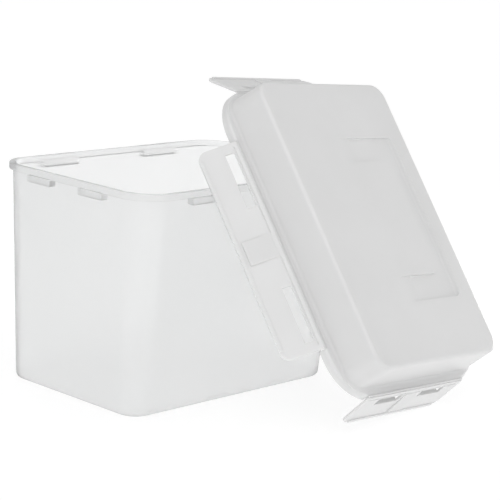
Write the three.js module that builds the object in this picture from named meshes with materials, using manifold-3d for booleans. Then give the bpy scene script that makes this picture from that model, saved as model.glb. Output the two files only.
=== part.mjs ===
// Bread box: a clear moulded tub and its domed lid, which is off and leans on the tub's front rim.
// Four locking flaps hang on the lid by living hinges, and a seal lies in the lid's groove.
// Millimetres, +Z up. Origin: middle of the tub's base. X runs along the tub's long side, front is -Y.

import * as THREE from 'three';
import { mergeVertices } from 'three/addons/utils/BufferGeometryUtils.js';
import Module from 'manifold-3d';

const wasm = await Module();
wasm.setup();

// Tub
const TUB_LENGTH = 254; // over the lip
const TUB_WIDTH = 176; // over the lip
const TUB_HEIGHT = 180;
const TUB_WALL = 2.0;
const TUB_FLOOR = 2.4;
const TUB_DRAFT = 9.2; // each wall stands this much further in at the base
const TUB_CORNER = 30; // upright corner radius, over the lip
const BASE_FILLET = 5;
const FLOOR_FILLET = 4; // inside, between wall and floor
const LIP_OVERHANG = 3.2; // lip past the wall
const LIP_HEIGHT = 5.3;
const LIP_ROUND = 0.8;

// Locking ribs under the lip, two on each side
const RIB_HEIGHT = 4.9;
const RIB_PROUD = 3.0; // past the lip
const LONG_RIB_LENGTH = 40;
const LONG_RIB_CENTRE = 57.5; // from the middle of the side
const SHORT_RIB_LENGTH = 27;
const SHORT_RIB_CENTRE = 30;

// Lid, measured from the top of its flange
const LID_OVERHANG = 7.0; // flange past the tub's lip
const LID_WALL = 1.8;
const FLANGE_THICKNESS = 2.0;
const FLANGE_ROUND = 2.5;
const SKIRT_DEPTH = 7.0;
const SKIRT_WALL = 1.6;
const DOME_HEIGHT = 33;
const DOME_FOOT = 8.0; // ledge between the flange's edge and the dome
const DOME_CORNER = 16; // upright corner radius at the foot
const DOME_DRAFT = 2.0;
const DOME_FILLET = 3.4;
const LEDGE_FILLET = 3;

// Seal and its groove
const SEAL_HEIGHT = 2.0;
const SEAL_SQUEEZE = 0.3; // how far the rim presses into the seal when the lid is shut
const SEAL_GAP = 0.3; // to the groove
const GROOVE_MARGIN = 0.4; // groove's outer side inside the tub's lip
const GROOVE_RIDGE = 1.0;
const GROOVE_RIDGE_DEPTH = 1.0;
const PLUG_CLEARANCE = 0.6; // to the tub's inner wall
const PLUG_WALL = 1.6;
const PLUG_DEPTH = 5.0; // below the flange

// Grip recess in the lid's top, open towards the front flap
const GRIP_LENGTH = 146; // along the long side, outside
const GRIP_REACH = 70;
const GRIP_BAND = 22;
const GRIP_DEPTH = 2.0; // at the closed end, running out to nothing at the open one
const GRIP_CORNER = 10;
const GRIP_OFFSET = -2; // open end from the lid's middle line

// Locking flaps
const FLAP_LENGTH = 35; // hinge to tip
const FLAP_THICKNESS = 2.0;
const FLAP_INNER = 0.5; // inner face behind the hinge axis
const LONG_FLAP_SPAN = 178;
const SHORT_FLAP_SPAN = 134;
const TIP_CORNER = 8;
const TIP_LIP = 1.0; // outward grip edge along the tip
const TIP_LIP_HEIGHT = 3;
const SLOT_HEIGHT = 7.7;
const SLOT_SIDE_CLEARANCE = 3.0; // to the rib, each end
const LATCH_CLEARANCE = 0.3; // slot edge under the rib
const LATCH_BITE = 1.2; // how far the hook reaches under the rib
const HOOK_HEIGHT = 2.5;
const PAD_SPAN = 20; // raised thumb pad in the middle
const PAD_HEIGHT = 24;
const PAD_PROUD = 1.5; // at its end by the tip, running out to nothing towards the hinge
const PAD_TOP = 5.2; // from the hinge

// Living hinges: a thin round bead between flange and flap
const HINGE_RADIUS = 0.55;
const HINGE_INSET = 1.1; // axis inside the flange's edge
const HINGE_DROP = 0.8; // axis below the flange's top
const HINGE_GAP = 0.3;
const HINGE_END_GAP = 1.0; // flap to the notch in the flange, each end

// How the lid stands: on its right end, leaned back on the tub, yawed and rolled a little
const LID_END_TURN = -90;
const LID_LEAN = 53;
const LID_YAW = 7.8;
const LID_ROLL = -5.4;
const LID_SHIFT = 64; // lid's middle, along the tub's long side
const FLOOR_GAP = 0.2;
const LEAN_GAP = 0.2; // front flap's tip to the tub's lip

// Flap angles from locked, as the lid stands
const FREE_FLAP_ANGLE = 50;
const LEFT_FLAP_ANGLE = 47; // the top one, sunk a little under its own weight
const RIGHT_FLAP_ANGLE = 10; // pushed in by the floor

// Fineness of curves
const CORNER_STEPS = 8;
const ARC_DIVISIONS = 2;
const BEAD_SIDES = 10;
const OVERLAP = 0.6; // how far joined solids run into each other
const MERGE_TOLERANCE = 1e-4;

// Derived sizes
const RIM_WIDTH = LIP_OVERHANG + TUB_WALL;
const LID_LENGTH = TUB_LENGTH + 2 * LID_OVERHANG;
const LID_WIDTH = TUB_WIDTH + 2 * LID_OVERHANG;
const LID_CORNER = TUB_CORNER + LID_OVERHANG;
const SEAT_DEPTH = FLANGE_THICKNESS + SEAL_GAP + SEAL_HEIGHT - SEAL_SQUEEZE;
const GROOVE_OUTER = LID_OVERHANG + GROOVE_MARGIN;
const GROOVE_INNER = LID_OVERHANG + RIM_WIDTH + PLUG_CLEARANCE;
const SLOT_FAR = SEAT_DEPTH + LIP_HEIGHT + RIB_HEIGHT + LATCH_CLEARANCE - HINGE_DROP;
const SLOT_NEAR = SLOT_FAR - SLOT_HEIGHT;
const NOTCH_DEPTH = HINGE_INSET + HINGE_RADIUS + HINGE_GAP;
const FLAP_START = HINGE_RADIUS + HINGE_GAP;
const HOOK_DEPTH = LID_OVERHANG - HINGE_INSET - FLAP_INNER - RIB_PROUD + LATCH_BITE;

const CLEAR_PLASTIC = new THREE.MeshStandardMaterial({
  name: 'clear_polypropylene',
  color: 0xe9eaea,
  roughness: 0.35,
  metalness: 0,
  transparent: true,
  opacity: 0.55,
});
const WHITE_PLASTIC = new THREE.MeshStandardMaterial({
  name: 'white_polypropylene',
  color: 0xe2e2e2,
  roughness: 0.42,
  metalness: 0,
});
const SILICONE = new THREE.MeshStandardMaterial({
  name: 'silicone',
  color: 0xf0f0ee,
  roughness: 0.6,
  metalness: 0,
});

// Closed mesh to solid, and back
function solid(geometry) {
  const bare = geometry.clone();
  bare.deleteAttribute('normal');
  bare.deleteAttribute('uv');
  const merged = mergeVertices(bare, MERGE_TOLERANCE);
  const vertProperties = new Float32Array(merged.attributes.position.array);
  const triVerts = new Uint32Array(merged.index.array);
  return new wasm.Manifold(new wasm.Mesh({ numProp: 3, vertProperties, triVerts }));
}

function geometryOf(body) {
  const mesh = body.getMesh();
  const geometry = new THREE.BufferGeometry();
  geometry.setAttribute('position', new THREE.BufferAttribute(mesh.vertProperties, 3));
  geometry.setIndex(new THREE.BufferAttribute(mesh.triVerts, 1));
  geometry.computeVertexNormals();
  return geometry;
}

function part(name, body, material) {
  const mesh = new THREE.Mesh(geometryOf(body), material);
  mesh.name = name;
  return mesh;
}

// Box between two corners
function block(low, high) {
  const size = new THREE.Vector3().subVectors(high, low);
  const middle = new THREE.Vector3().addVectors(low, high).multiplyScalar(0.5);
  const geometry = new THREE.BoxGeometry(size.x, size.y, size.z);
  return solid(geometry.translate(middle.x, middle.y, middle.z));
}

// Rounded rectangle, anticlockwise, grown outward by an offset (inward where it is negative)
function roundedRing(length, width, corner, offset) {
  const radius = corner + offset;
  const alongX = length / 2 - corner;
  const alongY = width / 2 - corner;
  const centres = [[alongX, alongY], [-alongX, alongY], [-alongX, -alongY], [alongX, -alongY]];
  return centres.flatMap(([x, y], quarter) => {
    const arc = new THREE.EllipseCurve(
      x, y, radius, radius, (quarter * Math.PI) / 2, ((quarter + 1) * Math.PI) / 2,
    );
    return arc.getPoints(CORNER_STEPS);
  });
}

// Section carried round a rounded rectangle, as a lathe carries one round an axis.
// Section points are (offset from the outer edge, height); a closed section makes a ring,
// an open one is closed by flat ends across the middle.
function carriedRound(length, width, corner, section, closed) {
  const rings = section.map((point) =>
    roundedRing(length, width, corner, point.x).map((p) => [p.x, p.y, point.y]));
  const count = rings[0].length;
  const positions = rings.flat(2);
  const index = [];
  const spans = closed ? rings.length : rings.length - 1;
  for (let ring = 0; ring < spans; ring++) {
    const here = ring * count;
    const next = ((ring + 1) % rings.length) * count;
    for (let i = 0; i < count; i++) {
      const j = (i + 1) % count;
      index.push(here + i, here + j, next + j, here + i, next + j, next + i);
    }
  }
  if (!closed) {
    const first = rings.length * count;
    const last = (rings.length - 1) * count;
    positions.push(0, 0, section[0].y, 0, 0, section[section.length - 1].y);
    for (let i = 0; i < count; i++) {
      const j = (i + 1) % count;
      index.push(first, j, i, first + 1, last + i, last + j);
    }
  }
  const geometry = new THREE.BufferGeometry();
  geometry.setAttribute('position', new THREE.Float32BufferAttribute(positions, 3));
  geometry.setIndex(index);
  return solid(geometry);
}

// What lies along a long and a short side, and the four sides by their turn about Z from the front
const LONG_SIDE = {
  across: TUB_WIDTH,
  span: LONG_FLAP_SPAN,
  ribLength: LONG_RIB_LENGTH,
  ribCentre: LONG_RIB_CENTRE,
};
const SHORT_SIDE = {
  across: TUB_LENGTH,
  span: SHORT_FLAP_SPAN,
  ribLength: SHORT_RIB_LENGTH,
  ribCentre: SHORT_RIB_CENTRE,
};
const SIDES = [
  { name: 'front', turn: 0, angle: FREE_FLAP_ANGLE, ...LONG_SIDE },
  { name: 'right', turn: 90, angle: RIGHT_FLAP_ANGLE, ...SHORT_SIDE },
  { name: 'back', turn: 180, angle: FREE_FLAP_ANGLE, ...LONG_SIDE },
  { name: 'left', turn: 270, angle: LEFT_FLAP_ANGLE, ...SHORT_SIDE },
];

// Tub: floor, drafted walls and lip in one section, and the ribs under the lip
function makeTub() {
  const base = -LIP_OVERHANG - TUB_DRAFT;
  const inside = base - TUB_WALL;
  const lipUnder = TUB_HEIGHT - LIP_HEIGHT;
  const quarter = Math.PI / 2;
  const section = new THREE.Path();
  section.moveTo(base - BASE_FILLET, 0);
  section.absarc(base - BASE_FILLET, BASE_FILLET, BASE_FILLET, -quarter, 0);
  section.lineTo(-LIP_OVERHANG, lipUnder);
  section.absarc(-LIP_ROUND, lipUnder + LIP_ROUND, LIP_ROUND, -quarter, 0);
  section.absarc(-LIP_ROUND, TUB_HEIGHT - LIP_ROUND, LIP_ROUND, 0, quarter);
  section.absarc(LIP_ROUND - RIM_WIDTH, TUB_HEIGHT - LIP_ROUND, LIP_ROUND, quarter, 2 * quarter);
  section.absarc(inside - FLOOR_FILLET, TUB_FLOOR + FLOOR_FILLET, FLOOR_FILLET, 0, -quarter, true);
  const points = section.getPoints(ARC_DIVISIONS);
  let tub = carriedRound(TUB_LENGTH, TUB_WIDTH, TUB_CORNER, points, false);
  for (const side of SIDES) {
    for (const end of [-1, 1]) {
      const middle = end * side.ribCentre;
      const lip = -side.across / 2;
      const rib = block(
        new THREE.Vector3(middle - side.ribLength / 2, lip - RIB_PROUD, lipUnder - RIB_HEIGHT),
        new THREE.Vector3(middle + side.ribLength / 2, lip + LIP_OVERHANG + OVERLAP, lipUnder + OVERLAP),
      );
      tub = tub.add(rib.rotate([0, 0, side.turn]));
    }
  }
  return tub;
}

// Grip recess: a square-cornered C whose floor slopes from its closed end up to its open ends
function gripRecess(depth, growth) {
  const half = GRIP_LENGTH / 2 + growth;
  const inner = GRIP_LENGTH / 2 - GRIP_BAND - growth;
  const open = GRIP_OFFSET - growth;
  const closed = GRIP_OFFSET + GRIP_REACH + growth;
  const column = GRIP_OFFSET + GRIP_REACH - GRIP_BAND - growth;
  const outline = new THREE.Shape();
  outline.moveTo(-half, open);
  outline.lineTo(-inner, open);
  outline.lineTo(-inner, column);
  outline.lineTo(inner, column);
  outline.lineTo(inner, open);
  outline.lineTo(half, open);
  outline.absarc(half - GRIP_CORNER, closed - GRIP_CORNER, GRIP_CORNER, 0, Math.PI / 2);
  outline.absarc(GRIP_CORNER - half, closed - GRIP_CORNER, GRIP_CORNER, Math.PI / 2, Math.PI);
  const settings = { depth, bevelEnabled: false, curveSegments: CORNER_STEPS };
  return new THREE.ExtrudeGeometry(outline, settings);
}

// Lid shell: a plate with flange, skirt, groove and plug, and a dome on it, both hollowed from below
function makeLidShell() {
  const quarter = Math.PI / 2;
  const ridge = -FLANGE_THICKNESS - GROOVE_RIDGE_DEPTH;
  const plate = new THREE.Path();
  plate.moveTo(-GROOVE_INNER, -PLUG_DEPTH);
  plate.lineTo(-GROOVE_INNER, -FLANGE_THICKNESS);
  plate.lineTo(-GROOVE_OUTER, -FLANGE_THICKNESS);
  plate.lineTo(-GROOVE_OUTER, ridge);
  plate.lineTo(GROOVE_RIDGE - GROOVE_OUTER, ridge);
  plate.lineTo(GROOVE_RIDGE - GROOVE_OUTER, -FLANGE_THICKNESS);
  plate.lineTo(-SKIRT_WALL, -FLANGE_THICKNESS);
  plate.lineTo(-SKIRT_WALL, -SKIRT_DEPTH);
  plate.lineTo(0, -SKIRT_DEPTH);
  plate.absarc(-FLANGE_ROUND, -FLANGE_ROUND, FLANGE_ROUND, 0, quarter);
  const lidRound = (path) =>
    carriedRound(LID_LENGTH, LID_WIDTH, LID_CORNER, path.getPoints(ARC_DIVISIONS), false);

  const wallTop = DOME_HEIGHT - DOME_FILLET;
  const shoulder = (-DOME_DRAFT * wallTop) / DOME_HEIGHT;
  const dome = new THREE.Path();
  dome.moveTo(LEDGE_FILLET, -OVERLAP);
  dome.lineTo(LEDGE_FILLET, 0);
  dome.absarc(LEDGE_FILLET, LEDGE_FILLET, LEDGE_FILLET, -quarter, -2 * quarter, true);
  dome.absarc(shoulder - DOME_FILLET, wallTop, DOME_FILLET, 0, quarter);
  const hollow = new THREE.Path();
  hollow.moveTo(-LID_WALL, 0);
  hollow.lineTo(shoulder - LID_WALL, wallTop);
  hollow.absarc(shoulder - DOME_FILLET, wallTop, DOME_FILLET - LID_WALL, 0, quarter);
  const domeLength = LID_LENGTH - 2 * DOME_FOOT;
  const domeWidth = LID_WIDTH - 2 * DOME_FOOT;
  const domeRound = (path) =>
    carriedRound(domeLength, domeWidth, DOME_CORNER, path.getPoints(ARC_DIVISIONS), false);

  const plugInner = GROOVE_INNER + PLUG_WALL;
  const shaft = new THREE.Path();
  shaft.moveTo(-plugInner, -PLUG_DEPTH - OVERLAP);
  shaft.lineTo(-plugInner, OVERLAP);
  let shell = lidRound(plate).add(domeRound(dome)).subtract(domeRound(hollow)).subtract(lidRound(shaft));

  // The recess dips through the panel's top, so the panel is thickened by as much below it
  const slope = Math.atan2(GRIP_DEPTH, GRIP_REACH);
  const panelUnder = DOME_HEIGHT - LID_WALL;
  const backing = gripRecess(GRIP_DEPTH + OVERLAP, LID_WALL).translate(0, 0, panelUnder - GRIP_DEPTH);
  const dip = gripRecess(2 * GRIP_DEPTH, 0)
    .translate(0, -GRIP_OFFSET, 0)
    .rotateX(-slope)
    .translate(0, GRIP_OFFSET, DOME_HEIGHT);
  shell = shell.add(solid(backing)).subtract(solid(dip));

  // Notches that hold the hinges
  for (const side of SIDES) {
    const edge = -side.across / 2 - LID_OVERHANG;
    const half = side.span / 2 + HINGE_END_GAP;
    const notch = block(
      new THREE.Vector3(-half, edge - OVERLAP, -SKIRT_DEPTH - OVERLAP),
      new THREE.Vector3(half, edge + NOTCH_DEPTH, OVERLAP),
    );
    shell = shell.subtract(notch.rotate([0, 0, side.turn]));
  }
  return shell;
}

// Seal: a flat band with a rounded face towards the rim
function makeSeal() {
  const inner = -GROOVE_INNER + SEAL_GAP;
  const outer = -GROOVE_OUTER - SEAL_GAP;
  const top = -FLANGE_THICKNESS - SEAL_GAP;
  const half = SEAL_HEIGHT / 2;
  const section = new THREE.Path();
  section.moveTo(outer, top);
  section.lineTo(inner, top);
  section.absarc(inner + half, top - half, half, Math.PI, 1.5 * Math.PI);
  section.absarc(outer - half, top - half, half, 1.5 * Math.PI, 2 * Math.PI);
  return carriedRound(LID_LENGTH, LID_WIDTH, LID_CORNER, section.getPoints(ARC_DIVISIONS), true);
}

// Flap in its locked place, hanging from a hinge axis that lies along X at the origin
function makeFlap(side) {
  const half = side.span / 2;
  const plate = new THREE.Shape();
  plate.moveTo(half, -FLAP_START);
  plate.lineTo(-half, -FLAP_START);
  plate.absarc(TIP_CORNER - half, TIP_CORNER - FLAP_LENGTH, TIP_CORNER, Math.PI, 1.5 * Math.PI);
  plate.absarc(half - TIP_CORNER, TIP_CORNER - FLAP_LENGTH, TIP_CORNER, 1.5 * Math.PI, 2 * Math.PI);
  const settings = { depth: FLAP_THICKNESS, bevelEnabled: false, curveSegments: CORNER_STEPS };
  const upright = new THREE.ExtrudeGeometry(plate, settings).rotateX(Math.PI / 2);
  let flap = solid(upright.translate(0, FLAP_INNER, 0));
  const outerFace = FLAP_INNER - FLAP_THICKNESS;
  const slotHalf = side.ribLength / 2 + SLOT_SIDE_CLEARANCE;
  for (const end of [-1, 1]) {
    const middle = end * side.ribCentre;
    const slot = block(
      new THREE.Vector3(middle - slotHalf, outerFace - OVERLAP, -SLOT_FAR),
      new THREE.Vector3(middle + slotHalf, FLAP_INNER + OVERLAP, -SLOT_NEAR),
    );
    const hook = block(
      new THREE.Vector3(middle - slotHalf, FLAP_INNER - OVERLAP, -SLOT_FAR - HOOK_HEIGHT),
      new THREE.Vector3(middle + slotHalf, FLAP_INNER + HOOK_DEPTH, -SLOT_FAR),
    );
    flap = flap.subtract(slot).add(hook);
  }
  const padSide = new THREE.Shape();
  padSide.moveTo(outerFace + OVERLAP, -PAD_TOP);
  padSide.lineTo(outerFace, -PAD_TOP);
  padSide.lineTo(outerFace - PAD_PROUD, -PAD_TOP - PAD_HEIGHT);
  padSide.lineTo(outerFace + OVERLAP, -PAD_TOP - PAD_HEIGHT);
  const pad = new THREE.ExtrudeGeometry(padSide, { depth: PAD_SPAN, bevelEnabled: false })
    .translate(0, 0, -PAD_SPAN / 2)
    .rotateX(Math.PI / 2)
    .rotateZ(Math.PI / 2);
  const grip = block(
    new THREE.Vector3(TIP_CORNER - half, outerFace - TIP_LIP, -FLAP_LENGTH),
    new THREE.Vector3(half - TIP_CORNER, outerFace + OVERLAP, TIP_LIP_HEIGHT - FLAP_LENGTH),
  );
  return flap.add(solid(pad)).add(grip);
}

function makeHingeBead(side) {
  const bead = new THREE.CylinderGeometry(HINGE_RADIUS, HINGE_RADIUS, side.span, BEAD_SIDES);
  return solid(bead.rotateZ(Math.PI / 2));
}

// Lid assembly in its own frame: as if shut, its flange's top at height 0
function makeLid() {
  const lid = new THREE.Group();
  lid.add(part('lid_shell', makeLidShell(), WHITE_PLASTIC));
  lid.add(part('lid_seal', makeSeal(), SILICONE));
  for (const side of SIDES) {
    const face = new THREE.Group();
    face.rotation.z = THREE.MathUtils.degToRad(side.turn);
    lid.add(face);
    const hinge = new THREE.Group();
    hinge.position.set(0, HINGE_INSET - LID_OVERHANG - side.across / 2, -HINGE_DROP);
    face.add(hinge);
    hinge.add(part(`hinge_${side.name}`, makeHingeBead(side), WHITE_PLASTIC));
    const flap = part(`flap_${side.name}`, makeFlap(side), WHITE_PLASTIC);
    flap.rotation.x = -THREE.MathUtils.degToRad(side.angle);
    hinge.add(flap);
  }
  return lid;
}

// Stand the lid on the floor, its front flap's tip against the tub's lip
function leanLid(lid) {
  const upright = new THREE.Vector3(0, 0, 1);
  const sideways = new THREE.Vector3(1, 0, 0);
  const turn = (axis, degrees) =>
    new THREE.Quaternion().setFromAxisAngle(axis, THREE.MathUtils.degToRad(degrees));
  lid.quaternion
    .copy(turn(upright, LID_YAW))
    .multiply(turn(sideways, LID_LEAN))
    .multiply(turn(upright, LID_ROLL + LID_END_TURN));
  lid.updateMatrixWorld(true);
  lid.position.z = FLOOR_GAP - new THREE.Box3().setFromObject(lid, true).min.z;

  const tip = new THREE.Vector3(0, FLAP_INNER, -FLAP_LENGTH)
    .applyAxisAngle(sideways, -THREE.MathUtils.degToRad(FREE_FLAP_ANGLE))
    .add(new THREE.Vector3(0, HINGE_INSET - LID_WIDTH / 2, -HINGE_DROP))
    .applyQuaternion(lid.quaternion);
  const alongTip = sideways.clone().applyQuaternion(lid.quaternion);
  const reach = (TUB_HEIGHT - lid.position.z - tip.z) / alongTip.z;
  tip.addScaledVector(alongTip, reach);
  lid.position.y = -TUB_WIDTH / 2 - LEAN_GAP - tip.y;
  lid.position.x = LID_SHIFT;
}

const breadBox = new THREE.Group();
breadBox.add(part('tub', makeTub(), CLEAR_PLASTIC));
const lid = makeLid();
leanLid(lid);
breadBox.add(lid);

export default breadBox;
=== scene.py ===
# %% [markdown]
# # A bread box: clear tub, white lid, four locking flaps
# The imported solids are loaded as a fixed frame, and every moulding is then modelled again over its solid
# with softer edges. The solids stay in the file for collision and are only hidden. Sizes are written in
# millimetres and turned to metres where Blender takes them.

# %% Load the frame
import math
from collections import namedtuple

import bpy
from mathutils import Matrix, Quaternion, Vector


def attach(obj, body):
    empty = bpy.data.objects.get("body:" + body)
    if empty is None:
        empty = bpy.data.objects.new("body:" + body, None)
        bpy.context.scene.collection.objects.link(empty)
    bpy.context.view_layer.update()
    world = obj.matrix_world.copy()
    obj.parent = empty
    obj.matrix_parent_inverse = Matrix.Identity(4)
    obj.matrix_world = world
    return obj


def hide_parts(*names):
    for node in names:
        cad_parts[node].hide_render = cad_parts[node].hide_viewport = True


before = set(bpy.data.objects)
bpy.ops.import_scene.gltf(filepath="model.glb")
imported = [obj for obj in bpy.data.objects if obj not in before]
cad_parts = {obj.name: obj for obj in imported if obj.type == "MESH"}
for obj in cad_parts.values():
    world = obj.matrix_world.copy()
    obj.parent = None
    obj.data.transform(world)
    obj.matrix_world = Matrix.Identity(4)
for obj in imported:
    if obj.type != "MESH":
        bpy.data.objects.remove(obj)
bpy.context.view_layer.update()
MM = 0.001

# %% [markdown]
# ## Camera
# The camera stands in front and to the left, looks down by about 12 degrees and is rolled by 4. It could
# be aimed by a Track To constraint, but that gives no roll. So its place, its angles in radians and its
# focal length, worked out from straight edges of the tub and the lid, go straight into its matrix. A long
# lens keeps the edges nearly parallel. A small shift puts the object where it sits in the square picture.

# %% Camera
CAMERA_PLACE = (-1125.063, -1109.254, 456.815)
PAN, TILT, ROLL = 0.82626, 0.21591, 0.06757
FOCAL_PIXELS, IMAGE_PIXELS = 1942.82, 500
AXIS_PIXEL = (241.33, 251.446)
SENSOR_WIDTH = 36
FAR_CLIP = 40  # metres

view = Vector((math.sin(PAN) * math.cos(TILT), math.cos(PAN) * math.cos(TILT), -math.sin(TILT)))
level = Vector((math.cos(PAN), -math.sin(PAN), 0))
upward = level.cross(view)
right = level * math.cos(ROLL) + upward * math.sin(ROLL)
upward = upward * math.cos(ROLL) - level * math.sin(ROLL)
lens = bpy.data.cameras.new("camera")
lens.sensor_width = SENSOR_WIDTH
lens.lens = FOCAL_PIXELS / IMAGE_PIXELS * SENSOR_WIDTH
lens.shift_x = (IMAGE_PIXELS / 2 - AXIS_PIXEL[0]) / IMAGE_PIXELS
lens.shift_y = (AXIS_PIXEL[1] - IMAGE_PIXELS / 2) / IMAGE_PIXELS
lens.clip_end = FAR_CLIP
camera = bpy.data.objects.new("camera", lens)
turned = Matrix((right, upward, -view)).transposed().to_4x4()
camera.matrix_world = Matrix.Translation(Vector(CAMERA_PLACE) * MM) @ turned
bpy.context.collection.objects.link(camera)
bpy.context.scene.camera = camera
print("lens", round(lens.lens, 2), "mm")

# %% [markdown]
# ## Boxes, and picking their faces and edges
# Every piece starts as a box at its size and place. Its faces and edges could be picked by number, but
# numbers change with each step, so they are picked by where they are.

# %% Boxes and picking
SAME, CLOSE = 0.01, 0.1  # distances that count as equal, or as near


def start_box(name, low, high):
    """Add a box between two corners, in millimetres, alone selected."""
    bpy.ops.object.select_all(action="DESELECT")
    middle = (Vector(low) + Vector(high)) / 2 * MM
    bpy.ops.mesh.primitive_cube_add(size=1, location=middle)
    piece = bpy.context.object
    piece.name = piece.data.name = name
    piece.scale = (Vector(high) - Vector(low)) * MM
    bpy.ops.object.transform_apply(location=True, rotation=True, scale=True)
    return piece


def pick(piece, kind, test):
    """Select faces by centre and normal, or edges by their ends, in millimetres. Stays in edit mode."""
    bpy.ops.object.mode_set(mode="EDIT")
    bpy.ops.mesh.select_mode(type=kind)
    bpy.ops.mesh.select_all(action="DESELECT")
    bpy.ops.object.mode_set(mode="OBJECT")
    mesh = piece.data
    if kind == "FACE":
        for face in mesh.polygons:
            face.select = test(face.center / MM, face.normal)
    else:
        for edge in mesh.edges:
            edge.select = test(*(mesh.vertices[i].co / MM for i in edge.vertices))
    bpy.ops.object.mode_set(mode="EDIT")


def upright(a, b):
    """Whether an edge with these two ends runs up or down."""
    return abs(a.z - b.z) > SAME


print("distances within", SAME, "mm count as equal")

# %% [markdown]
# ## Slabs, and carrying a section
# Each moulding here is a thin wall whose section runs round a rounded rectangle. Such a form could be
# swept along a curve. Insetting the end face of a slab, ring by ring, gives the same form with clean
# quads, and each ring is one step of the section: so far inwards, so far onwards.

# %% Slabs and sections
CORNER_SEGMENTS = 16
FACING = 0.99  # a normal at least this much along a direction faces it


def slab(name, length, width, corner, low, high):
    """A box with rounded upright edges."""
    piece = start_box(name, (-length / 2, -width / 2, low), (length / 2, width / 2, high))
    pick(piece, "EDGE", upright)
    bpy.ops.mesh.bevel(offset=corner * MM, segments=CORNER_SEGMENTS, affect="EDGES", clamp_overlap=False)
    bpy.ops.object.mode_set(mode="OBJECT")
    return piece


def carry(piece, side, steps):
    """Carry the slab's top (side 1) or bottom (side -1) along a section of (inwards, onwards) steps."""
    ends = [v.co.z / MM for v in piece.data.vertices]
    level = max(ends) if side > 0 else min(ends)
    pick(piece, "FACE", lambda c, n: n.z * side > FACING and abs(c.z - level) < SAME)
    for inwards, onwards in steps:
        if inwards > 0:
            bpy.ops.mesh.inset(thickness=inwards * MM, depth=onwards * MM, use_even_offset=True)
        else:
            bpy.ops.mesh.extrude_region_move(TRANSFORM_OT_translate={"value": (0, 0, side * onwards * MM)})
    bpy.ops.object.mode_set(mode="OBJECT")


def round_over(radius, facets, sign=1):
    """Steps of a quarter circle that starts along the wall and ends across it."""
    angles = [math.pi / 2 * i / facets for i in range(facets + 1)]
    across = [radius * (1 - math.cos(a)) for a in angles]
    along = [radius * math.sin(a) for a in angles]
    return [(across[i + 1] - across[i], sign * (along[i + 1] - along[i])) for i in range(facets)]


def round_in(radius, facets, sign=1):
    """Steps of a quarter circle that starts across the wall and ends along it."""
    return [(onwards, sign * inwards) for inwards, onwards in round_over(radius, facets)]


print("corners have", CORNER_SEGMENTS, "facets")

# %% [markdown]
# ## Joining, cutting and shading
# A moulding is one solid, so what is added to it is joined by an exact boolean, not left as a second
# shell inside it. A boolean can leave slivers, which spoil the shading, so those are dissolved before the
# faces are shaded. Weighted normals then keep the large flat faces flat between rounded edges.

# %% Joining, cutting and shading
SLIVER = 0.005
SHARP_ABOVE = 35  # degrees


def alone(piece):
    """Select one piece and make it active."""
    bpy.ops.object.select_all(action="DESELECT")
    piece.select_set(True)
    bpy.context.view_layer.objects.active = piece


def combine(piece, tool, operation):
    """Join a tool solid to a piece, or cut it away."""
    alone(piece)
    step = piece.modifiers.new("combine", "BOOLEAN")
    step.operation = operation
    step.solver = "EXACT"
    step.object = tool
    bpy.ops.object.modifier_apply(modifier=step.name)
    bpy.data.objects.remove(tool, do_unlink=True)


def smooth(piece, degrees=SHARP_ABOVE):
    """Dissolve slivers, then shade smooth up to an angle, with flat faces kept flat."""
    alone(piece)
    pick(piece, "FACE", lambda c, n: True)
    bpy.ops.mesh.dissolve_degenerate(threshold=SLIVER * MM)
    bpy.ops.object.mode_set(mode="OBJECT")
    bpy.ops.object.shade_smooth_by_angle(angle=math.radians(degrees))
    step = piece.modifiers.new("flat faces", "WEIGHTED_NORMAL")
    step.keep_sharp = True
    bpy.ops.object.modifier_apply(modifier=step.name)
    print(piece.name, len(piece.data.vertices), "points", len(piece.data.polygons), "faces")


print("edges up to", SHARP_ABOVE, "degrees are smoothed")

# %% [markdown]
# ## Tub
# The tub is one injection moulding of natural polypropylene: thin drafted walls, a lip all round and a
# rounded base. A Solidify modifier could give a box its wall, but here the rounds differ inside and
# outside. So it starts as a slab for the lip. The slab's bottom is carried in and down to make the outer
# wall and the base, and its top is carried in and down to make the inner wall and the floor.

# %% Tub
TUB_LENGTH, TUB_WIDTH, TUB_HEIGHT, TUB_CORNER = 254, 176, 180, 30
TUB_WALL, TUB_FLOOR, TUB_DRAFT = 2.0, 2.4, 9.2
BASE_FILLET, FLOOR_FILLET = 5, 4
LIP_OVERHANG, LIP_HEIGHT, LIP_ROUND = 3.2, 5.3, 0.8
RIM_WIDTH = LIP_OVERHANG + TUB_WALL
LIP_UNDER = TUB_HEIGHT - LIP_HEIGHT

tub = slab("tub_moulding", TUB_LENGTH, TUB_WIDTH, TUB_CORNER, LIP_UNDER + LIP_ROUND, TUB_HEIGHT - LIP_ROUND)
carry(tub, -1, round_over(LIP_ROUND, facets=4)
      + [(LIP_OVERHANG - LIP_ROUND, 0), (TUB_DRAFT, LIP_UNDER - BASE_FILLET)]
      + round_over(BASE_FILLET, facets=8))
carry(tub, 1, round_over(LIP_ROUND, facets=4)
      + [(RIM_WIDTH - 2 * LIP_ROUND, 0)]
      + round_in(LIP_ROUND, facets=4, sign=-1)
      + [(TUB_DRAFT, -(TUB_HEIGHT - LIP_ROUND - TUB_FLOOR - FLOOR_FILLET))]
      + round_over(FLOOR_FILLET, facets=8, sign=-1))
print("tub", [round(v / MM, 2) for v in tub.dimensions])

# %% [markdown]
# ## Locking ribs
# Two short ribs stand out under the lip on each side, and the flaps' slots snap over them. They could be
# extruded, but the wall has no faces of their size. So each rib is a box with its edges rolled, turned to
# its side and joined to the tub as one solid.

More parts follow.
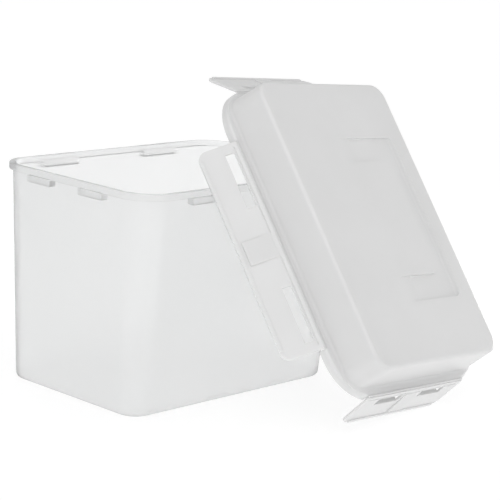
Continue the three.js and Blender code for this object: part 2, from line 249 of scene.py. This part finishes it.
# %% Locking ribs
RIB_HEIGHT, RIB_PROUD, RIB_ROLL = 4.9, 3.0, 0.7
OVERLAP = 0.6  # how far a joined solid reaches into the other
LONG_SPAN, SHORT_SPAN = 178, 134
Rib = namedtuple("Rib", "length centre")
LONG_RIB, SHORT_RIB = Rib(40, 57.5), Rib(27, 30)
Side = namedtuple("Side", "turn across span rib angle")  # span and angle are those of the side's flap
SIDES = {
    "front": Side(0, TUB_WIDTH, LONG_SPAN, LONG_RIB, 50),
    "right": Side(90, TUB_LENGTH, SHORT_SPAN, SHORT_RIB, 10),
    "back": Side(180, TUB_WIDTH, LONG_SPAN, LONG_RIB, 50),
    "left": Side(270, TUB_LENGTH, SHORT_SPAN, SHORT_RIB, 47),
}
for side in SIDES.values():
    for end in (-1, 1):
        middle, lip = end * side.rib.centre, -side.across / 2
        rib = start_box(
            "rib",
            (middle - side.rib.length / 2, lip - RIB_PROUD, LIP_UNDER - RIB_HEIGHT),
            (middle + side.rib.length / 2, lip + LIP_OVERHANG + OVERLAP, LIP_UNDER + OVERLAP),
        )
        pick(rib, "EDGE", lambda a, b: min(a.y, b.y) < lip)
        bpy.ops.mesh.bevel(offset=RIB_ROLL * MM, segments=3, affect="EDGES")
        bpy.ops.object.mode_set(mode="OBJECT")
        rib.rotation_euler.z = math.radians(side.turn)
        bpy.ops.object.transform_apply(rotation=True)
        combine(tub, rib, "UNION")
smooth(tub)

# %% [markdown]
# ## Lid plate
# The lid is a second moulding. Its plate has a rounded flange, a short skirt, and underneath a groove
# for the seal and a plug that enters the tub. Each could be a ring of its own, but then they would have
# to be joined. It is made as the tub is, and as if shut, with its flange's top at height 0: a slab for
# the skirt, rounded over on top and carried in, up and down underneath.

# %% Lid plate
LID_OVERHANG, LID_WALL, FLANGE_THICKNESS, FLANGE_ROUND = 7.0, 1.8, 2.0, 2.5
SKIRT_DEPTH, SKIRT_WALL = 7.0, 1.6
GROOVE_OUTER, GROOVE_INNER, GROOVE_RIDGE, RIDGE_DEPTH = 7.4, 12.8, 1.0, 1.0
PLUG_WALL, PLUG_DEPTH = 1.6, 5.0
LID_LENGTH, LID_WIDTH = TUB_LENGTH + 2 * LID_OVERHANG, TUB_WIDTH + 2 * LID_OVERHANG
LID_CORNER = TUB_CORNER + LID_OVERHANG
ridge_outer = GROOVE_OUTER - GROOVE_RIDGE
plug_inner = GROOVE_INNER + PLUG_WALL

shell = slab("lid_moulding", LID_LENGTH, LID_WIDTH, LID_CORNER, -SKIRT_DEPTH, -FLANGE_ROUND)
carry(shell, 1, round_over(FLANGE_ROUND, facets=8))
carry(shell, -1, [
    (SKIRT_WALL, 0), (0, FLANGE_THICKNESS - SKIRT_DEPTH),
    (ridge_outer - SKIRT_WALL, 0), (0, RIDGE_DEPTH), (GROOVE_RIDGE, 0), (0, -RIDGE_DEPTH),
    (GROOVE_INNER - GROOVE_OUTER, 0), (0, PLUG_DEPTH - FLANGE_THICKNESS),
])
print("lid plate", [round(v / MM, 2) for v in shell.dimensions])

# %% [markdown]
# ## Dome
# The dome stands on the plate with a hollow fillet at its foot and a small round along its top. It could
# be carried on from the plate, but its corners are tighter than the plate's. So it is a solid of its own,
# joined to the plate. A second, smaller form and a shaft through the plug are cut away later, which
# leaves a thin shell.

# %% Dome
DOME_HEIGHT, DOME_FOOT, DOME_CORNER, DOME_DRAFT, DOME_FILLET, LEDGE_FILLET = 33, 8.0, 16, 2.0, 3.4, 3
WALL_TOP = DOME_HEIGHT - DOME_FILLET
WALL_LEAN = DOME_DRAFT * WALL_TOP / DOME_HEIGHT
HOLLOW_START = 0.5
CUT_PAST = 1  # how far a cutter stands past what it cuts


def lid_slab(name, inset, corner, low, high):
    """A slab this far inside the flange's edge."""
    return slab(name, LID_LENGTH - 2 * inset, LID_WIDTH - 2 * inset, corner, low, high)


dome = lid_slab("dome", DOME_FOOT - LEDGE_FILLET, DOME_CORNER + LEDGE_FILLET, -OVERLAP, 0)
carry(dome, 1, round_in(LEDGE_FILLET, facets=8)
      + [(WALL_LEAN, WALL_TOP - LEDGE_FILLET)]
      + round_over(DOME_FILLET, facets=10))
combine(shell, dome, "UNION")
hollow = lid_slab("lid_hollow", DOME_FOOT + LID_WALL, DOME_CORNER - LID_WALL, 0, HOLLOW_START)
carry(hollow, 1, [(WALL_LEAN, WALL_TOP - HOLLOW_START)] + round_over(DOME_FILLET - LID_WALL, facets=6))
shaft = lid_slab("plug_shaft", plug_inner, LID_CORNER - plug_inner, -PLUG_DEPTH - CUT_PAST, CUT_PAST)
print("dome", [round(v / MM, 2) for v in shell.dimensions])

# %% [markdown]
# ## Hollow under the grip recess
# A shallow C is pressed into the lid's panel as a grip. Pushing the panel's faces down would need their
# edges to follow the C, so a C-shaped solid is made and used twice. The first, grown by the wall's
# thickness, lowers the hollow's ceiling, so that the wall keeps its thickness under the recess.

# %% Hollow under the grip recess
GRIP_LENGTH, GRIP_REACH, GRIP_BAND, GRIP_DEPTH, GRIP_OFFSET = 146, 70, 22, 2.2, -2
GRIP_CORNER, INNER_CORNER, GRIP_FACETS = 10, 7, 8
TONGUE_PAST, BACKING_HEIGHT = 5, 6


def round_far_corners(piece, radius):
    """Round the upright edges at the C's closed side."""
    pick(piece, "EDGE", lambda a, b: upright(a, b) and min(a.y, b.y) > 1)
    bpy.ops.mesh.bevel(offset=radius * MM, segments=GRIP_FACETS, affect="EDGES")
    bpy.ops.object.mode_set(mode="OBJECT")


def grip_form(name, growth, low, high):
    """The C between its two heights, grown by a wall's thickness where asked."""
    half, column = GRIP_LENGTH / 2 + growth, GRIP_REACH - GRIP_BAND - growth
    piece = start_box(name, (-half, -growth, low), (half, GRIP_REACH + growth, high))
    round_far_corners(piece, GRIP_CORNER)
    inner = GRIP_LENGTH / 2 - GRIP_BAND - growth
    tongue = start_box("tongue", (-inner, -growth - TONGUE_PAST, low - CUT_PAST),
                       (inner, column, high + CUT_PAST))
    round_far_corners(tongue, INNER_CORNER)
    combine(piece, tongue, "DIFFERENCE")
    return piece


def place(piece, matrix):
    """Turn and move a piece, and write that into its mesh."""
    alone(piece)
    piece.matrix_world = matrix
    bpy.ops.object.transform_apply(location=True, rotation=True, scale=True)


backing = grip_form("grip_backing", LID_WALL, 0, BACKING_HEIGHT)
place(backing, Matrix.Translation(Vector((0, GRIP_OFFSET, DOME_HEIGHT - LID_WALL - GRIP_DEPTH)) * MM))
combine(hollow, backing, "DIFFERENCE")
combine(shell, hollow, "DIFFERENCE")
combine(shell, shaft, "DIFFERENCE")
print("hollow lid", len(shell.data.polygons), "faces")

# %% [markdown]
# ## Grip recess
# The recess itself is cut by a second C with a rounded underside. It runs out softly at its two open
# ends, so the cutter's ends are drawn into ramps. Its long closed side slopes more gently than the rest,
# so there each ring of the underside is drawn in, the more the deeper it lies. Those faces are no longer
# flat, and the cutter is turned into triangles so that it cuts a clean, closed edge.

# %% Grip recess
GRIP_ROUND, GRIP_EASE = 1.2, 0.8
RAMP_OUT, RAMP_IN = 60, 7.5  # the ends' upper edges go out and their lower edges in
dip = grip_form("grip_dip", 0, GRIP_ROUND - GRIP_DEPTH, GRIP_DEPTH)
pick(dip, "EDGE", lambda a, b: max(a.y, b.y) < SAME and min(a.z, b.z) > 0)
bpy.ops.transform.translate(value=(0, -RAMP_OUT * MM, 0))
pick(dip, "EDGE", lambda a, b: max(a.y, b.y) < SAME and max(a.z, b.z) < 0)
bpy.ops.transform.translate(value=(0, RAMP_IN * MM, 0))
bpy.ops.object.mode_set(mode="OBJECT")
carry(dip, -1, round_over(GRIP_ROUND, facets=6))
bend = GRIP_REACH - GRIP_CORNER
for ring in sorted({round(v.co.z / MM, 3) for v in dip.data.vertices if v.co.z < 0}):
    pick(dip, "EDGE", lambda a, b: min(a.y, b.y) > bend - SAME
         and max(abs(a.z - ring), abs(b.z - ring)) < SAME)
    bpy.ops.transform.resize(value=(1, 1 + GRIP_EASE * ring / GRIP_DEPTH, 1),
                             center_override=(0, bend * MM, 0))
    bpy.ops.object.mode_set(mode="OBJECT")
pick(dip, "FACE", lambda c, n: True)
bpy.ops.mesh.quads_convert_to_tris()
bpy.ops.object.mode_set(mode="OBJECT")
place(dip, Matrix.Translation(Vector((0, GRIP_OFFSET, DOME_HEIGHT)) * MM))
combine(shell, dip, "DIFFERENCE")
print("grip recess", GRIP_DEPTH, "mm deep")

# %% [markdown]
# ## Notches for the hinges
# The flange is cut back along each side, where a flap hangs. Its rim has no edges where a notch ends, so
# a box is cut away rather than faces pushed in. The notch's top edge is rolled a little, because the
# hinge's web carries on from there.

# %% Notches
HINGE_INSET, HINGE_DROP, HINGE_RADIUS, HINGE_GAP, HINGE_END_GAP = 1.1, 0.8, 0.55, 0.3, 0.4
NOTCH_DEPTH, NOTCH_ROUND = HINGE_INSET + HINGE_RADIUS + HINGE_GAP, 0.15


def about_z(degrees):
    """A turn about the upright axis."""
    return Matrix.Rotation(math.radians(degrees), 4, "Z")


for side in SIDES.values():
    rim = side.across / 2 + LID_OVERHANG
    half = side.span / 2 + HINGE_END_GAP
    notch = start_box("notch", (-half, -rim - CUT_PAST, -SKIRT_DEPTH - CUT_PAST),
                      (half, -rim + NOTCH_DEPTH, CUT_PAST))
    place(notch, about_z(side.turn))
    combine(shell, notch, "DIFFERENCE")
    facing = about_z(side.turn) @ Vector((0, -1, 0))
    set_back = rim - NOTCH_DEPTH
    pick(shell, "EDGE", lambda a, b: min(a.z, b.z) > -CLOSE and not upright(a, b)
         and max(abs(a.dot(facing) - set_back), abs(b.dot(facing) - set_back)) < SAME)
    bpy.ops.mesh.bevel(offset=NOTCH_ROUND * MM, segments=2, affect="EDGES")
    bpy.ops.object.mode_set(mode="OBJECT")
smooth(shell)

# %% [markdown]
# ## Seal
# A soft band lies in the groove under the flange. A curve with a bevel profile could make it, but it has
# to follow the groove's corners, so it is carried as the lid is: a slab whose underside goes in, down and
# up again. Both ends are then opened and their edges merged, which leaves a closed ring.

# %% Seal
SEAL_HEIGHT, SEAL_GAP, SEAL_MERGE = 2.0, 0.3, 0.02
seal_outer, seal_inner = GROOVE_OUTER + SEAL_GAP, GROOVE_INNER - SEAL_GAP
seal_top = -FLANGE_THICKNESS - SEAL_GAP
seal_round = SEAL_HEIGHT / 2
seal = lid_slab("seal_ring", seal_outer, LID_CORNER - seal_outer, seal_top - seal_round, seal_top)
band = seal_inner - seal_outer
carry(seal, 1, [(band, 0)])
carry(seal, -1, round_over(seal_round, facets=6)
      + [(band - 2 * seal_round, 0)]
      + round_in(seal_round, facets=6, sign=-1)
      + [(0, -seal_round)])
pick(seal, "FACE", lambda c, n: c.xy.length < 1)  # the two end faces are centred on the upright axis
bpy.ops.mesh.delete(type="ONLY_FACE")
bpy.ops.mesh.select_all(action="SELECT")
bpy.ops.mesh.remove_doubles(threshold=SEAL_MERGE * MM)
bpy.ops.mesh.normals_make_consistent(inside=False)
bpy.ops.object.mode_set(mode="OBJECT")
smooth(seal)

# %% [markdown]
# ## Flap plates
# Each flap is a 2 mm plate with two slots, a thumb pad, a grip edge along its tip and a hook behind each
# slot. The slots could be cut by booleans, but all of this lies on straight lines. So the plate is cut
# into fields by bisecting, and a field can then be opened, or pushed in or out. The flap is modelled
# hanging straight down from a hinge axis along X.

# %% Flap plates
FLAP_LENGTH, FLAP_THICKNESS, FLAP_INNER, TIP_CORNER = 35, 2.0, 0.5, 8
FLAP_OUTER = FLAP_INNER - FLAP_THICKNESS
FLAP_START = HINGE_RADIUS + HINGE_GAP
TIP_LIP, TIP_LIP_HEIGHT = 1.0, 3
TIP_LIP_NEAR = FLAP_LENGTH - TIP_LIP_HEIGHT
SLOT_NEAR, SLOT_FAR, SLOT_SIDE_CLEARANCE = 6.0, 13.7, 3.0
HOOK_HEIGHT, HOOK_DEPTH = 2.5, 3.6
HOOK_FAR = SLOT_FAR + HOOK_HEIGHT
ROOT_NEAR, ROOT_FAR, ROOT_END, ROOT_CUT = 4.0, 5.2, 4, 0.7  # the shallow groove at the flap's root
PAD_SPAN = 20


def flap_plate(name, half, slots):
    """A plate with rounded tips, cut along the borders of its fields."""
    piece = start_box(name, (-half, FLAP_OUTER, -FLAP_LENGTH), (half, FLAP_INNER, -FLAP_START))
    pick(piece, "EDGE", lambda a, b: abs(a.y - b.y) > SAME and a.z < -FLAP_LENGTH + CLOSE)
    bpy.ops.mesh.bevel(offset=TIP_CORNER * MM, segments=8, affect="EDGES")
    across = [x for slot in slots for x in slot] + [-PAD_SPAN / 2, PAD_SPAN / 2]
    across += [ROOT_END - half, half - ROOT_END, TIP_CORNER - half, half - TIP_CORNER]
    along = [ROOT_NEAR, ROOT_FAR, SLOT_NEAR, SLOT_FAR, HOOK_FAR, TIP_LIP_NEAR]
    cuts = [((x, 0, 0), (1, 0, 0)) for x in across] + [((0, 0, -z), (0, 0, 1)) for z in along]
    for point, normal in cuts:
        bpy.ops.mesh.select_all(action="SELECT")
        bpy.ops.mesh.bisect(plane_co=Vector(point) * MM, plane_no=normal)
    return piece


print("flap plate", FLAP_LENGTH, "x", FLAP_THICKNESS, "mm")

# %% [markdown]
# ## Slots, hooks and edges of the flaps
# A slot's two faces are deleted and the two openings bridged, which gives it walls. The hook behind a
# slot, the grip edge and the groove at the root are extruded fields. A Bevel modifier then rolls every
# sharp edge at once, which by hand would take many picks.

# %% Slots, hooks and edges
EDGE_ROLL, ROLL_ABOVE = 0.3, 40


def field(x0, x1, near, far, side):
    """A test for faces between these borders, on the plate's inner (1) or outer (-1) side."""
    return lambda c, n: x0 < c.x < x1 and near < -c.z < far and n.y * side > FACING


def push(distance):
    """Extrude the picked faces towards the tub."""
    bpy.ops.mesh.extrude_region_move(TRANSFORM_OT_translate={"value": (0, distance * MM, 0)})


def open_slots(piece, slots):
    """Open each slot and push out the hook behind it."""
    for x0, x1 in slots:
        both = field(x0, x1, SLOT_NEAR, SLOT_FAR, 1), field(x0, x1, SLOT_NEAR, SLOT_FAR, -1)
        pick(piece, "FACE", lambda c, n: both[0](c, n) or both[1](c, n))
        bpy.ops.mesh.delete(type="FACE")
        bpy.ops.mesh.select_mode(type="EDGE")
        bpy.ops.mesh.select_non_manifold(extend=False)
        bpy.ops.mesh.bridge_edge_loops()
        pick(piece, "FACE", field(x0, x1, SLOT_FAR, HOOK_FAR, 1))
        push(HOOK_DEPTH)


def shape_outside(piece, half):
    """Raise the grip edge and sink the groove, then roll the edges."""
    for x0, x1, near, far, rise in [
        (TIP_CORNER - half, half - TIP_CORNER, TIP_LIP_NEAR, FLAP_LENGTH, TIP_LIP),
        (ROOT_END - half, -PAD_SPAN / 2, ROOT_NEAR, ROOT_FAR, -ROOT_CUT),
        (PAD_SPAN / 2, half - ROOT_END, ROOT_NEAR, ROOT_FAR, -ROOT_CUT),
    ]:
        pick(piece, "FACE", field(x0, x1, near, far, -1))
        push(-rise)
    bpy.ops.object.mode_set(mode="OBJECT")
    step = piece.modifiers.new("rolled edges", "BEVEL")
    step.width = EDGE_ROLL * MM
    step.segments = 2
    step.limit_method = "ANGLE"
    step.angle_limit = math.radians(ROLL_ABOVE)
    bpy.ops.object.modifier_apply(modifier=step.name)


print("flap edges rolled by", EDGE_ROLL, "mm")

# %% [markdown]
# ## Thumb pads, and the four flaps
# The pad is a wedge that stands out most towards the flap's tip. Pulling up a field would leave its end
# upright to the plate on all sides, so the wedge is a box with one edge drawn back, joined to the plate.
# It keeps a small step at its thin end, because a feather edge shades badly.

# %% Thumb pads and flaps
PAD_HEIGHT, PAD_PROUD, PAD_STEP, PAD_TOP, PAD_ROLL = 24, 1.5, 0.5, 5.2, 0.4
FLAP_SMOOTH = 12


def thumb_pad():
    """A wedge with rolled edges."""
    pad = start_box("pad", (-PAD_SPAN / 2, FLAP_OUTER - PAD_PROUD, -PAD_TOP - PAD_HEIGHT),
                    (PAD_SPAN / 2, FLAP_OUTER + OVERLAP, -PAD_TOP))
    pick(pad, "EDGE", lambda a, b: max(a.y, b.y) < FLAP_OUTER and min(a.z, b.z) > -PAD_TOP - CLOSE)
    bpy.ops.transform.translate(value=(0, (PAD_PROUD - PAD_STEP) * MM, 0))
    pick(pad, "EDGE", lambda a, b: min(a.y, b.y) < FLAP_OUTER - CLOSE)
    bpy.ops.mesh.bevel(offset=PAD_ROLL * MM, segments=3, affect="EDGES")
    bpy.ops.object.mode_set(mode="OBJECT")
    return pad


def make_flap(name, span, rib):
    """One flap, locked, with its hinge axis at the origin."""
    half, slot_half = span / 2, rib.length / 2 + SLOT_SIDE_CLEARANCE
    slots = [(end * rib.centre - slot_half, end * rib.centre + slot_half) for end in (-1, 1)]
    piece = flap_plate(name, half, slots)
    open_slots(piece, slots)
    shape_outside(piece, half)
    combine(piece, thumb_pad(), "UNION")
    smooth(piece, FLAP_SMOOTH)
    return piece


flaps = {name: make_flap(f"flap_{name}_moulding", side.span, side.rib) for name, side in SIDES.items()}

# %% [markdown]
# ## Living hinges
# The flaps and the lid come from one mould, joined by a thin web that bends. A swept strip could bend with
# each flap, but the flaps are rigid here. So the web is a slim bar that carries on the flange's top and is
# rounded about the hinge axis on its outer side: it looks the same at every angle of the flap.

# %% Living hinges
WEB_RADIUS, WEB_END_ROLL, WEB_CLEARANCE = 0.78, 0.25, 0.03
WEB_REACH = HINGE_RADIUS + HINGE_GAP - WEB_CLEARANCE
HALF_ROUND = 0.99 * WEB_RADIUS  # just short of the radius, so that the two rounds don't meet


def make_hinge(name, span):
    """A bar along X, half round on its outer side, with rolled ends."""
    half = span / 2
    piece = start_box(name, (-half, -WEB_RADIUS, -WEB_RADIUS), (half, WEB_REACH, WEB_RADIUS))
    pick(piece, "EDGE", lambda a, b: abs(a.x - b.x) > SAME and a.y < 0)
    bpy.ops.mesh.bevel(offset=HALF_ROUND * MM, segments=8, affect="EDGES")
    pick(piece, "EDGE", lambda a, b: abs(a.x - b.x) < SAME)
    bpy.ops.mesh.bevel(offset=WEB_END_ROLL * MM, segments=2, affect="EDGES")
    bpy.ops.object.mode_set(mode="OBJECT")
    smooth(piece)
    return piece


hinges = {name: make_hinge(f"hinge_{name}_web", side.span) for name, side in SIDES.items()}

# %% [markdown]
# ## Stand the lid against the tub
# The lid stands on its right flap and leans on the tub's rim with its front flap. Its pieces could be
# parented to an empty that is turned, but every object has to end at the origin, unturned. So the turn is
# written into each mesh. The lid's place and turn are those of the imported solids, and each flap is opened
# by its own angle about its hinge.

# %% Place the lid's pieces
LID_PLACE = Vector((64.0, -133.383, 138.056)) * MM
LID_TURN = Quaternion((0.645928, 0.277155, 0.349682, -0.619423))
lid_matrix = Matrix.Translation(LID_PLACE) @ LID_TURN.to_matrix().to_4x4()
place(shell, lid_matrix)
place(seal, lid_matrix)
for name, side in SIDES.items():
    axis_place = Vector((0, HINGE_INSET - LID_OVERHANG - side.across / 2, -HINGE_DROP)) * MM
    hinge_matrix = lid_matrix @ about_z(side.turn) @ Matrix.Translation(axis_place)
    place(hinges[name], hinge_matrix)
    place(flaps[name], hinge_matrix @ Matrix.Rotation(-math.radians(side.angle), 4, "X"))
for piece, node in [(shell, "lid_shell"), (seal, "lid_seal"), (tub, "tub")]:
    points = [v.co / MM for v in piece.data.vertices]
    corners = [[round(end(p[i] for p in points), 1) for i in range(3)] for end in (min, max)]

# %% [markdown]
# ## Finishes
# Colours are given as on screen and turned to linear light. One helper adds a node with its settings
# and links. Pattern sizes are given in millimetres, as the size of one grain or cloud.

# %% Finish tools
MIX_A, MIX_B, MIX_RESULT = 6, 7, 2  # the colour sockets of a Mix node


def tint(code):
    """An sRGB hex colour as linear RGBA."""
    parts = [int(code[i:i + 2], 16) / 255 for i in (1, 3, 5)]
    return [c / 12.92 if c <= 0.04045 else ((c + 0.055) / 1.055) ** 2.4 for c in parts] + [1]


def wire(finish, node, inputs):
    """Fill a node's inputs: another node's socket is linked, anything else is set as a value."""
    for key, value in inputs.items():
        if isinstance(value, bpy.types.NodeSocket):
            finish.node_tree.links.new(value, node.inputs[key])
        else:
            node.inputs[key].default_value = value


def add_node(finish, kind, settings=None, inputs=None):
    """Add one node with its settings and inputs."""
    made = finish.node_tree.nodes.new(kind)
    for key, value in (settings or {}).items():
        setattr(made, key, value)
    wire(finish, made, inputs or {})
    return made


def grain(millimetres):
    """Noise scale whose grain is this wide."""
    return 1 / (millimetres * MM)


def start_finish(name):
    """A new material, its shader and the place on the object that patterns read."""
    finish = bpy.data.materials.new(name)
    finish.use_nodes = True
    surface = finish.node_tree.nodes["Principled BSDF"]
    place_on = add_node(finish, "ShaderNodeTexCoord").outputs["Object"]
    return finish, surface, place_on


print("mid grey is", round(tint("#808080")[0], 3), "in linear light")

# %% [markdown]
# ## Natural polypropylene of the tub
# Uncoloured polypropylene, moulded in a polished tool: hazy rather than clear, so that what is near the
# wall shows and what is far off blurs. Clear glass with a bump would stay too sharp, so rough refraction
# does this, with a little light spread under the surface. The refraction is lower than the plastic's own
# 1.49, because real haze lets light out of thick places, where a clear solid traps it and turns black.
# Absorption darkens the rim, ribs and edges, and a coat keeps the polished gloss. Faint clouds come from
# the melt's flow. The tool's grain breaks up the gloss. It is finer than a tenth of a millimetre on the
# real tub and is drawn coarser here, to show.

# %% Natural polypropylene: patterns
FLOW_CLOUD, TOOL_GRAIN = 70, 2.5
natural, surface, spot = start_finish("natural_polypropylene_moulded")
clouds = add_node(natural, "ShaderNodeTexNoise", inputs={
    "Vector": spot, "Scale": grain(FLOW_CLOUD), "Detail": 3})
colour = add_node(natural, "ShaderNodeMix", {"data_type": "RGBA"}, {
    "Factor": clouds.outputs["Fac"], MIX_A: tint("#FAFBFB"), MIX_B: tint("#FEFEFE")})
speckle = add_node(natural, "ShaderNodeTexNoise", inputs={
    "Vector": spot, "Scale": grain(TOOL_GRAIN), "Detail": 2})
rough = add_node(natural, "ShaderNodeMapRange", inputs={
    "Value": speckle.outputs["Fac"], "To Min": 0.34, "To Max": 0.42})
fine = add_node(natural, "ShaderNodeBump", inputs={
    "Height": speckle.outputs["Fac"], "Strength": 0.12, "Distance": 0.2 * MM})
flow = add_node(natural, "ShaderNodeBump", inputs={
    "Height": clouds.outputs["Fac"], "Strength": 0.25, "Distance": 1 * MM,
    "Normal": fine.outputs["Normal"]})
print(natural.name, "clouds", FLOW_CLOUD, "mm")

# %% Natural polypropylene: surface and inside
wire(natural, surface, {
    "Base Color": colour.outputs[MIX_RESULT],
    "Roughness": rough.outputs["Result"],
    "Normal": flow.outputs["Normal"],
    "IOR": 1.18,
    "Transmission Weight": 0.94,
    "Subsurface Weight": 1.0,
    "Subsurface Radius": (1, 1, 1),
    "Subsurface Scale": 12 * MM,
    "Coat Weight": 0.4,
    "Coat Roughness": 0.12,
})
inside = add_node(natural, "ShaderNodeVolumeAbsorption", inputs={"Color": tint("#BCBCBC"), "Density": 28})
wire(natural, natural.node_tree.nodes["Material Output"], {"Volume": inside.outputs["Volume"]})
print(natural.name, len(natural.node_tree.nodes), "nodes")

# %% [markdown]
# ## White polypropylene of the lid
# The same plastic with a little white pigment: milky, with light spreading a few millimetres under the
# surface. A plain matt white would leave its rounds and creases hard, so most of its colour comes from
# light scattered inside. The tool left a satin face, drawn coarser than it is so that it shows, and wide
# soft ripples are where the panel shrank as it cooled.

# %% White polypropylene
SHRINK_RIPPLE, SATIN_GRAIN = 45, 1.6
white, surface, spot = start_finish("white_polypropylene_moulded")
clouds = add_node(white, "ShaderNodeTexNoise", inputs={
    "Vector": spot, "Scale": grain(SHRINK_RIPPLE), "Detail": 3})
colour = add_node(white, "ShaderNodeMix", {"data_type": "RGBA"}, {
    "Factor": clouds.outputs["Fac"], MIX_A: tint("#DDDDDD"), MIX_B: tint("#E2E2E2")})
speckle = add_node(white, "ShaderNodeTexNoise", inputs={
    "Vector": spot, "Scale": grain(SATIN_GRAIN), "Detail": 2})
rough = add_node(white, "ShaderNodeMapRange", inputs={
    "Value": speckle.outputs["Fac"], "To Min": 0.26, "To Max": 0.34})
fine = add_node(white, "ShaderNodeBump", inputs={
    "Height": speckle.outputs["Fac"], "Strength": 0.15, "Distance": 0.2 * MM})
ripple = add_node(white, "ShaderNodeBump", inputs={
    "Height": clouds.outputs["Fac"], "Strength": 0.3, "Distance": 1 * MM,
    "Normal": fine.outputs["Normal"]})
wire(white, surface, {
    "Base Color": colour.outputs[MIX_RESULT],
    "Roughness": rough.outputs["Result"],
    "Normal": ripple.outputs["Normal"],
    "IOR": 1.49,
    "Subsurface Weight": 0.8,
    "Subsurface Radius": (1, 1, 1),
    "Subsurface Scale": 2.8 * MM,
})
print(white.name, "ripples", SHRINK_RIPPLE, "mm")

# %% [markdown]
# ## Silicone of the seal
# Moulded silicone is soft and dull, and fine dust clings to it. It could share the lid's finish, but it
# has less gloss and bends light less, so it gets its own, with the dust in its colour and roughness.

# %% Silicone
DUST = 1.2
silicone, surface, spot = start_finish("silicone_moulded")
dust = add_node(silicone, "ShaderNodeTexNoise", inputs={"Vector": spot, "Scale": grain(DUST), "Detail": 4})
colour = add_node(silicone, "ShaderNodeMix", {"data_type": "RGBA"}, {
    "Factor": dust.outputs["Fac"], MIX_A: tint("#E4E4E0"), MIX_B: tint("#EFEFEC")})
rough = add_node(silicone, "ShaderNodeMapRange", inputs={
    "Value": dust.outputs["Fac"], "To Min": 0.5, "To Max": 0.68})
bump = add_node(silicone, "ShaderNodeBump", inputs={
    "Height": dust.outputs["Fac"], "Strength": 0.1, "Distance": 0.2 * MM})
wire(silicone, surface, {
    "Base Color": colour.outputs[MIX_RESULT],
    "Roughness": rough.outputs["Result"],
    "Normal": bump.outputs["Normal"],
    "IOR": 1.41,
})
print(silicone.name, "dust", DUST, "mm")

# %% [markdown]
# ## Dress the frame
# Each moulding takes its finish, rides on its body and stands in for its solid. The solids could be given
# the finishes themselves, but they lack the small rounds that catch the light.

# %% Dress the frame


def dress(piece, node, body, finish):
    """Give a piece its finish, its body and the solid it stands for."""
    piece.data.materials.clear()
    piece.data.materials.append(finish)
    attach(piece, body)
    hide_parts(node)


dress(tub, "tub", "tub", natural)
dress(shell, "lid_shell", "lid", white)
dress(seal, "lid_seal", "lid", silicone)
for name in SIDES:
    dress(flaps[name], f"flap_{name}", f"flap_{name}", white)
    dress(hinges[name], f"hinge_{name}", "lid", white)
print("dressed", 3 + 2 * len(SIDES), "pieces")

# %% [markdown]
# ## Floor
# A wide sheet of pale paper fills the picture. Lamps alone would leave it uneven, so it glows a little,
# as paper lit from below does. It is lifted by a hair, because two faces at the same height, the paper
# and the tub's base, would flicker into each other.

# %% Floor
FLOOR_SIZE = 30  # metres
PAPER_LIFT, FIBRE = 0.05, 4
bpy.ops.object.select_all(action="DESELECT")
bpy.ops.mesh.primitive_plane_add(size=FLOOR_SIZE, location=(0, 0, PAPER_LIFT * MM))
floor = bpy.context.object
floor.name = floor.data.name = "floor"
paper, surface, spot = start_finish("pale_paper")
fibre = add_node(paper, "ShaderNodeTexNoise", inputs={"Vector": spot, "Scale": grain(FIBRE), "Detail": 2})
rough = add_node(paper, "ShaderNodeMapRange", inputs={
    "Value": fibre.outputs["Fac"], "To Min": 0.85, "To Max": 0.95})
wire(paper, surface, {
    "Base Color": tint("#808080"),
    "Roughness": rough.outputs["Result"],
    "Emission Color": tint("#FFFFFF"),
    "Emission Strength": 0.83,
})
floor.data.materials.append(paper)
print("floor", FLOOR_SIZE, "m wide")

# %% [markdown]
# ## Light
# A white surround gives the flat, bright look of a product picture. By itself it would leave no shading,
# so a large softbox stands above and to the left of the camera, and a small low one fills in from the
# right. The Standard view keeps white paper white.

# %% Light
SURROUND = 0.64
AIM = Vector((0.03, -0.07, 0.12))  # metres, as are the lamps' places and widths; powers are in watts
LAMPS = {"key": ((-1.15, -1.2, 1.65), 1.2, 11), "fill": ((1.3, -0.13, 0.1), 0.4, 4)}
world = bpy.data.worlds.new("surround")
world.use_nodes = True
wire(world, world.node_tree.nodes["Background"], {"Color": tint("#FFFFFF"), "Strength": SURROUND})
bpy.context.scene.world = world
for name, (stand, width, power) in LAMPS.items():
    softbox = bpy.data.lights.new(name, "AREA")
    softbox.size = width
    softbox.energy = power
    lamp = bpy.data.objects.new(name, softbox)
    lamp.location = stand
    lamp.rotation_euler = (AIM - lamp.location).to_track_quat("-Z", "Y").to_euler()
    bpy.context.collection.objects.link(lamp)
bpy.context.scene.view_settings.view_transform = "Standard"
print("lamps:", sorted(LAMPS))
